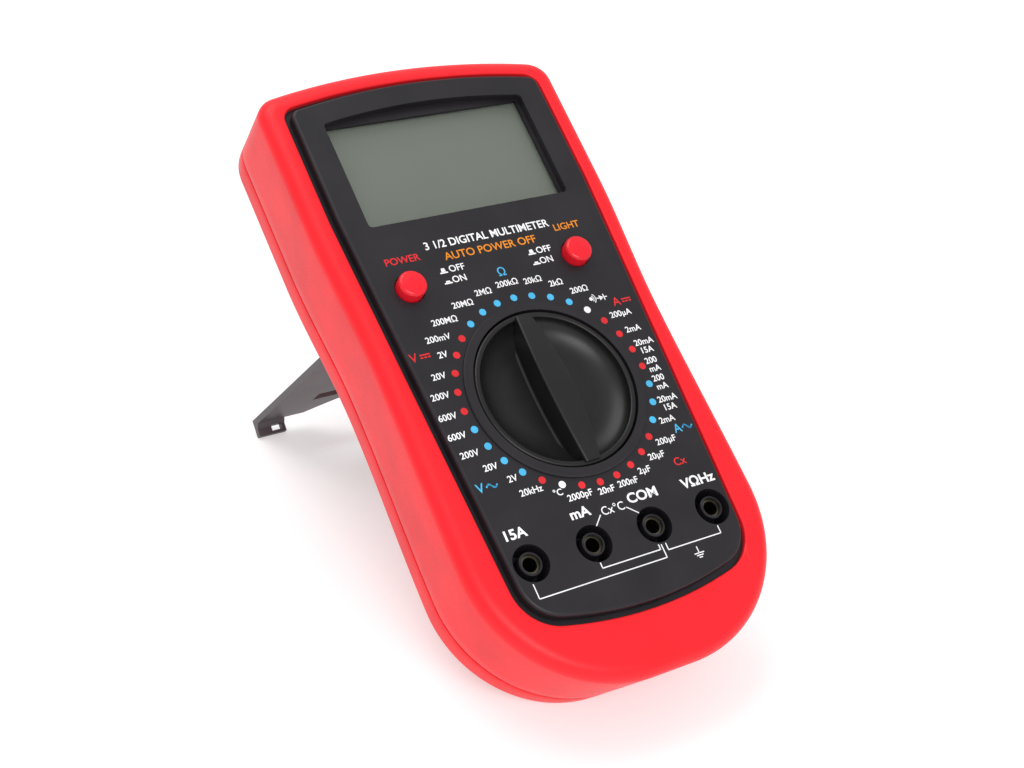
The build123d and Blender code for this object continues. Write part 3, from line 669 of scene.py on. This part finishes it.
def makeBar():
    bm = bmesh.new()
    rings = []
    count = knob["sections"]
    for k in range(count + 1):
        share = -1 + 2 * k / count
        y = knob["barLength"] * share
        swell = 1 - share ** 2
        half = knob["barEndHalf"] + (knob["barHalf"] - knob["barEndHalf"]) * swell
        top = knob["barEndTop"] + (knob["barTop"] - knob["barEndTop"]) * swell
        rounding, root = knob["barRound"], knob["barRoot"]
        right = [(half - rounding * (1 - math.sin(a)), top - rounding * (1 - math.cos(a)))
                 for a in (math.pi / 2 * i / 6 for i in range(7))]
        right += [(half + root * (1 - math.cos(a)), knob["dishFloor"] + root * (1 - math.sin(a)) + 0.3)
                  for a in (math.pi / 2 * i / 6 for i in range(7))]
        right.append((half + root, knob["dishFloor"] - 1.0))
        section = right + [(-x, z) for x, z in reversed(right)]
        rings.append([bm.verts.new((x, y, z)) for x, z in section])
    for first, second in zip(rings, rings[1:]):
        bridgeRings(bm, first, second)
    bm.faces.new(rings[0])
    bm.faces.new(rings[-1])
    return bm


def makeKnob():
    bm = bmesh.new()
    lathe(bm, (0, 0), knobProfile(), knob["segments"])
    bm = combine(bm, [makeBar()], "UNION")
    bmesh.ops.rotate(bm, verts=bm.verts, cent=(0, 0, 0),
                     matrix=Matrix.Rotation(math.radians(knob["turn"]), 3, "Z"))
    return bm


selectorKnob = finishPiece("selectorKnobCap", makeKnob(), "selector", "knob_plastic", smoothAngle=30)
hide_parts("selector_knob")
print("knob ready:", len(selectorKnob.data.polygons), "faces")


printing = {
    "height": 0.035,         # ink film above the face
    "valueSize": 1.85, "titleSize": 2.4, "wordSize": 2.15, "socketSize": 2.75,
    "symbolSize": 2.6, "keyWordSize": 2.0, "capShare": 0.72,     # capitals' share of the letter size
    "line": 0.3, "slot": "black_plastic",
    "dotRadius": 1.02, "dotCircle": 28.3, "dotCount": 32,
}
inks = {ink: bmesh.new() for ink in ("white_ink", "red_ink", "blue_ink", "orange_ink")}


def printText(text, x, y, size, ink, weight=0.03, stretch=1.0):
    curve = bpy.data.curves.new("legend", "FONT")
    curve.body = text
    curve.align_x = "CENTER"
    curve.align_y = "CENTER"
    curve.size = size / printing["capShare"]
    curve.offset = weight
    curve.extrude = printing["height"] / 2
    curve.resolution_u = 4
    holder = bpy.data.objects.new("legend", curve)
    scene.collection.objects.link(holder)
    graph = bpy.context.evaluated_depsgraph_get()
    mesh = bpy.data.meshes.new_from_object(holder.evaluated_get(graph))
    mesh.transform(Matrix.Translation((x, y, printing["height"] / 2))
                   @ Matrix.Diagonal((stretch, 1, 1, 1)))
    inks[ink].from_mesh(mesh)
    bpy.data.objects.remove(holder)
    bpy.data.curves.remove(curve)
    bpy.data.meshes.remove(mesh)


def printShape(points, ink):
    bm = inks[ink]
    top = [bm.verts.new((x, y, printing["height"])) for x, y in points]
    bottom = [bm.verts.new((x, y, 0.0)) for x, y in points]
    bm.faces.new(top)
    bm.faces.new(bottom)
    bridgeRings(bm, top, bottom)


def printBox(left, bottom, right, top, ink):
    printShape([(left, bottom), (right, bottom), (right, top), (left, top)], ink)


def printLine(points, width, ink):
    for (x1, y1), (x2, y2) in zip(points, points[1:]):
        along = Vector((x2 - x1, y2 - y1)).normalized() * width / 2
        across = Vector((-along.y, along.x))
        printShape([
            (x1 - along.x + across.x, y1 - along.y + across.y),
            (x1 - along.x - across.x, y1 - along.y - across.y),
            (x2 + along.x - across.x, y2 + along.y - across.y),
            (x2 + along.x + across.x, y2 + along.y + across.y),
        ], ink)


def printDisc(x, y, radius, ink, count=28):
    steps = [2 * math.pi * i / count for i in range(count)]
    printShape([(x + radius * math.cos(a), y + radius * math.sin(a)) for a in steps], ink)


# range dots, clockwise from the diode position at the upper right
dotInks = (["white_ink"] + ["red_ink"] * 4 + ["blue_ink"] * 3 + ["red_ink"] * 6 + ["white_ink"]
           + ["red_ink"] + ["blue_ink"] * 4 + ["red_ink"] * 5 + ["blue_ink"] * 7)
for i, ink in enumerate(dotInks):
    a = math.radians(45 - 360 / printing["dotCount"] * i)
    printDisc(printing["dotCircle"] * math.cos(a), printing["dotCircle"] * math.sin(a),
              printing["dotRadius"], ink)

values = [
    ("200kΩ", 0, 33), ("20kΩ", 8, 32.3), ("2kΩ", 14.5, 30), ("200Ω", 20.5, 26.5),
    ("200μA", 29.5, 16.7), ("2mA", 31, 11.4), ("20mA", 32.3, 6.9), ("15A", 32, 4.3),
    ("200", 31.7, 1.0), ("mA", 31.7, -1.6), ("200", 31.3, -4.5), ("mA", 31.3, -7.1),
    ("20mA", 31, -10.8), ("15A", 30.5, -13.4), ("2mA", 27.8, -16.7),
    ("200μF", 24.5, -22.3), ("20μF", 19.5, -25.7), ("2μF", 14, -28.6), ("200nF", 7.7, -30.5),
    ("20nF", 0.7, -30.9), ("2000pF", -7.3, -30.3), ("°C", -13, -28), ("20kHz", -20, -25.5),
    ("2V", -23.5, -21), ("20V", -28, -16.5), ("200V", -32, -11.7), ("600V", -33.3, -6.2),
    ("600V", -33.5, -0.5), ("200V", -33, 5.5), ("20V", -31, 11), ("2V", -27.3, 16.7),
    ("200mV", -26.6, 21.5), ("200MΩ", -22.6, 26), ("20MΩ", -15.4, 29.7), ("2MΩ", -8, 31.9),
]
for text, x, y in values:
    printText(text, x, y, printing["valueSize"], "white_ink", weight=0.035)


# a bar over three dashes
def printDirect(x, y, ink):
    printBox(x - 1.5, y + 0.25, x + 1.5, y + 0.65, ink)
    for k in (-1, 0, 1):
        left = x + k * 1.1 - 0.4
        printBox(left, y - 0.55, left + 0.8, y - 0.15, ink)


def printWave(x, y, ink):
    curve = [(x - 1.5 + 3 * i / 12, y + 0.55 * math.sin(2 * math.pi * i / 12)) for i in range(13)]
    printLine(curve, 0.42, ink)


symbolSize, titleSize, wordSize = printing["symbolSize"], printing["titleSize"], printing["wordSize"]
for text, x, y, size, ink in (
    ("Ω", 0, 36.6, symbolSize, "blue_ink"), ("V", -35.6, 17.5, symbolSize, "red_ink"),
    ("V", -33.2, -21.3, symbolSize, "blue_ink"), ("A", 30.0, 20.4, symbolSize, "red_ink"),
    ("A", 29.6, -20.0, symbolSize, "blue_ink"), ("Cx", 25.5, -29, 2.3, "red_ink"),
):
    printText(text, x, y, size, ink)
printDirect(-32.2, 17.5, "red_ink")
printDirect(33.3, 20.4, "red_ink")
printWave(-29.8, -21.3, "blue_ink")
printWave(32.8, -20.0, "blue_ink")

for text, x, y, size, ink, weight, stretch in (
    ("3 1/2 DIGITAL MULTIMETER", 0.9, 48.6, titleSize, "white_ink", 0.045, 0.98),
    ("AUTO POWER OFF", 0.2, 44.5, titleSize, "orange_ink", 0.035, 1.02),
    ("POWER", -26.8, 46.0, wordSize, "red_ink", 0.035, 1.02),
    ("LIGHT", 26.0, 46.6, wordSize, "orange_ink", 0.035, 1.02),
):
    printText(text, x, y, size, ink, weight, stretch)


# raised and pressed key signs beside the words
def printKeySign(x, y, pressed):
    printBox(x - 1.2, y - 0.9, x + 1.2, y - 0.5, "white_ink")
    foot = y - 0.4
    tall = 0.45 if pressed else 1.1
    printShape([(x - 0.7, foot), (x + 0.7, foot), (x + 0.5, foot + tall), (x - 0.5, foot + tall)],
               "white_ink")


for signX, wordX, offY, onY in ((-16.6, -12.4, 40.6, 37.3), (11.6, 15.6, 40.8, 37.5)):
    printText("OFF", wordX, offY, printing["keyWordSize"], "white_ink")
    printText("ON", wordX - 0.6, onY, printing["keyWordSize"], "white_ink")
    printKeySign(signX, offY, False)
    printKeySign(signX, onY, True)

# diode and buzzer signs at the upper right dot
printShape([(25.4, 21.9), (25.4, 23.5), (26.8, 22.7)], "white_ink")
printLine([(26.9, 21.9), (26.9, 23.5)], 0.3, "white_ink")
printLine([(24.6, 22.7), (27.8, 22.7)], 0.28, "white_ink")
printDisc(22.7, 22.9, 0.55, "white_ink")
for radius in (1.0, 1.6):
    arc = arcPoints((22.6, 22.9), radius, math.radians(-50), math.radians(50), 5)
    printLine(arc, 0.26, "white_ink")

for text, x, y in (("15A", -29.7, -35.2), ("mA", -9.7, -34.8), ("COM", 10.0, -35.0), ("VΩHz", 28.0, -35.5)):
    printText(text, x, y, printing["socketSize"], "white_ink", weight=0.10, stretch=1.1)
printText("Cx°C", 0.0, -36.2, 2.4, "white_ink", weight=0.01, stretch=0.95)

# ticks to the middle sockets, brackets under the sockets, and the earth sign
lineWidth = printing["line"]
for points in (
    [(-4.3, -36.9), (-6.6, -39.2)],
    [(4.0, -36.9), (6.6, -39.2)],
    [(-30.5, -48.9), (-30.5, -52.8), (8.7, -52.8), (8.7, -49.2)],
    [(-10.3, -48.9), (-10.3, -50.3), (7.9, -50.3), (7.9, -49.0)],
    [(10.1, -49.2), (10.1, -51.0), (27.3, -51.0), (27.3, -49.0)],
    [(18.3, -52.6), (18.3, -54.3)],
):
    printLine(points, lineWidth, "white_ink")
for k, half in enumerate((1.4, 0.9, 0.4)):
    printLine([(18.3 - half, -54.3 - 0.6 * k), (18.3 + half, -54.3 - 0.6 * k)], lineWidth, "white_ink")

for ink, bm in inks.items():
    bmesh.ops.remove_doubles(bm, verts=bm.verts, dist=0.0005)
    finishPiece(ink.replace("_ink", "Legends"), bm, "meter", ink)
print("face printed")


stage = {
    "floorSize": 8.0, "sky": 0.66,
    "topBox": dict(place=(-0.2, 0.35, 1.2), size=(1.0, 0.8), power=7.0),
    "frontBox": dict(place=(-0.25, -0.95, 0.75), size=(0.7, 0.45), power=7.0),
}


def makeFloor():
    bm = bmesh.new()
    bmesh.ops.create_grid(bm, x_segments=8, y_segments=8, size=stage["floorSize"] / 2)
    mesh = bpy.data.meshes.new("floor")
    bm.to_mesh(mesh)
    bm.free()
    mesh.materials.append(materials["pale_floor"])
    floor = bpy.data.objects.new("floor", mesh)
    floor.location.z = cadBox[0].z
    scene.collection.objects.link(floor)


def makeSoftbox(name, target, place, size, power):
    lamp = bpy.data.lights.new(name, "AREA")
    lamp.shape = "RECTANGLE"
    lamp.size, lamp.size_y = size
    lamp.energy = power
    holder = bpy.data.objects.new(name, lamp)
    holder.location = place
    holder.rotation_euler = (Vector(target) - Vector(place)).to_track_quat("-Z", "Y").to_euler()
    scene.collection.objects.link(holder)


makeFloor()
world = bpy.data.worlds.new("studio")
world.use_nodes = True
background = world.node_tree.nodes["Background"]
background.inputs["Color"].default_value = (1.0, 1.0, 1.0, 1.0)
background.inputs["Strength"].default_value = stage["sky"]
scene.world = world
middle = (cadBox[0] + cadBox[1]) / 2
for name in ("topBox", "frontBox"):
    makeSoftbox(name, middle, **stage[name])

view = {
    "place": (-222.85, -133.0, 352.9),         # in the face's own millimetres
    "forward": (0.48675, 0.3164, -0.81422),
    "up": (0.21171, 0.86158, 0.46137),
    "lens": 58.0, "sensor": 36.0,
}


def makeCamera():
    camera = bpy.data.cameras.new("camera")
    camera.lens = view["lens"]
    camera.sensor_width = view["sensor"]
    camera.clip_start = 0.01
    holder = bpy.data.objects.new("camera", camera)
    back = -(faceTurn @ Vector(view["forward"])).normalized()
    up = faceTurn @ Vector(view["up"])
    right = up.cross(back).normalized()
    turn = Matrix((right, back.cross(right), back)).transposed().to_4x4()
    holder.matrix_world = Matrix.Translation(faceMatrix @ Vector(view["place"])) @ turn
    scene.collection.objects.link(holder)
    scene.camera = holder


makeCamera()
scene.view_settings.view_transform = "Standard"
print("stage and camera ready")
